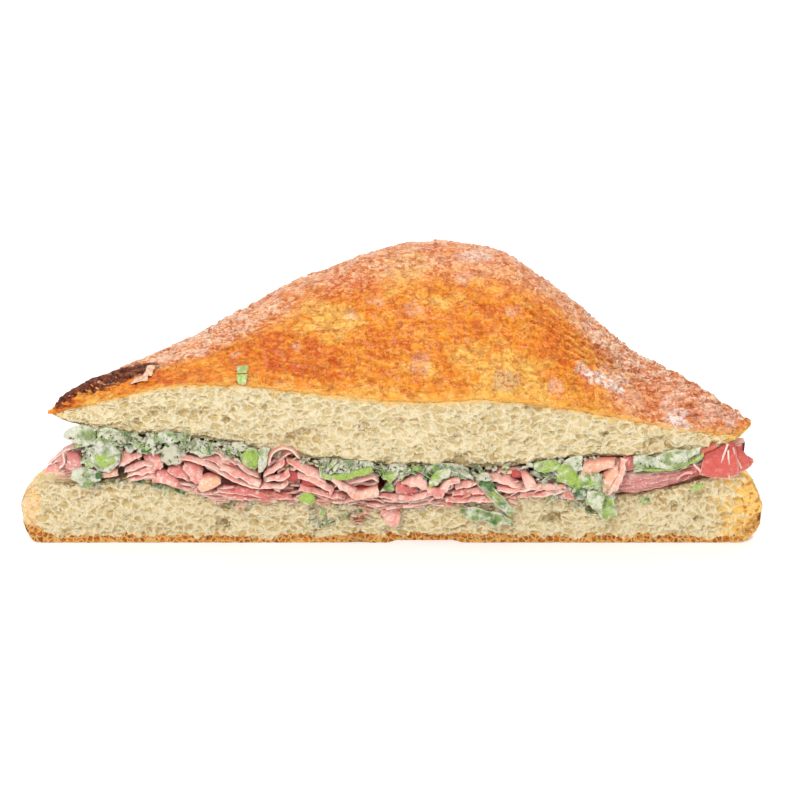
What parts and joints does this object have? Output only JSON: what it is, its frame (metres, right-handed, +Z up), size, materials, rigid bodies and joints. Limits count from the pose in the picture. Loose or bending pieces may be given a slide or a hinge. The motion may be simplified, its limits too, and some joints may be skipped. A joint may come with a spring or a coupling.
{
  "type": "submarine sandwich",
  "caption": "Crusty loaf sandwich cut corner to corner, lying on its base, with folded ham, salad and lettuce between two breads.",
  "frame": {"origin": "under the middle of the whole, on the surface that the sandwich lies on", "axes": "+X along the long cut face, -Y out of the cut face, +Z up through the lid"},
  "size_m": [0.2194, 0.1114, 0.0685],
  "materials": {
    "crust": "satin",
    "bread": "matt",
    "ham": "satin",
    "greens": "satin",
    "rib": "satin"
  },
  "bodies": {
    "root": {"bread_lid": "crust", "bread_base": "bread", "ham_long_1": "ham", "ham_long_2": "ham", "ham_fold_1": "ham", "ham_fold_2": "ham", "ham_fold_3": "ham", "ham_fold_4": "ham", "ham_fold_5": "ham", "ham_fold_6": "ham", "ham_fold_7": "ham", "ham_fold_8": "ham", "ham_fold_9": "ham", "ham_hanging": "ham", "ham_broad": "ham", "ham_left": "ham", "salad_left": "greens", "lettuce_mid": "greens", "lettuce_right": "greens", "lettuce_rib": "rib", "leaf_strip": "greens", "leaf_frilled": "greens", "leaf_low": "greens"}
  },
  "joints": []
}
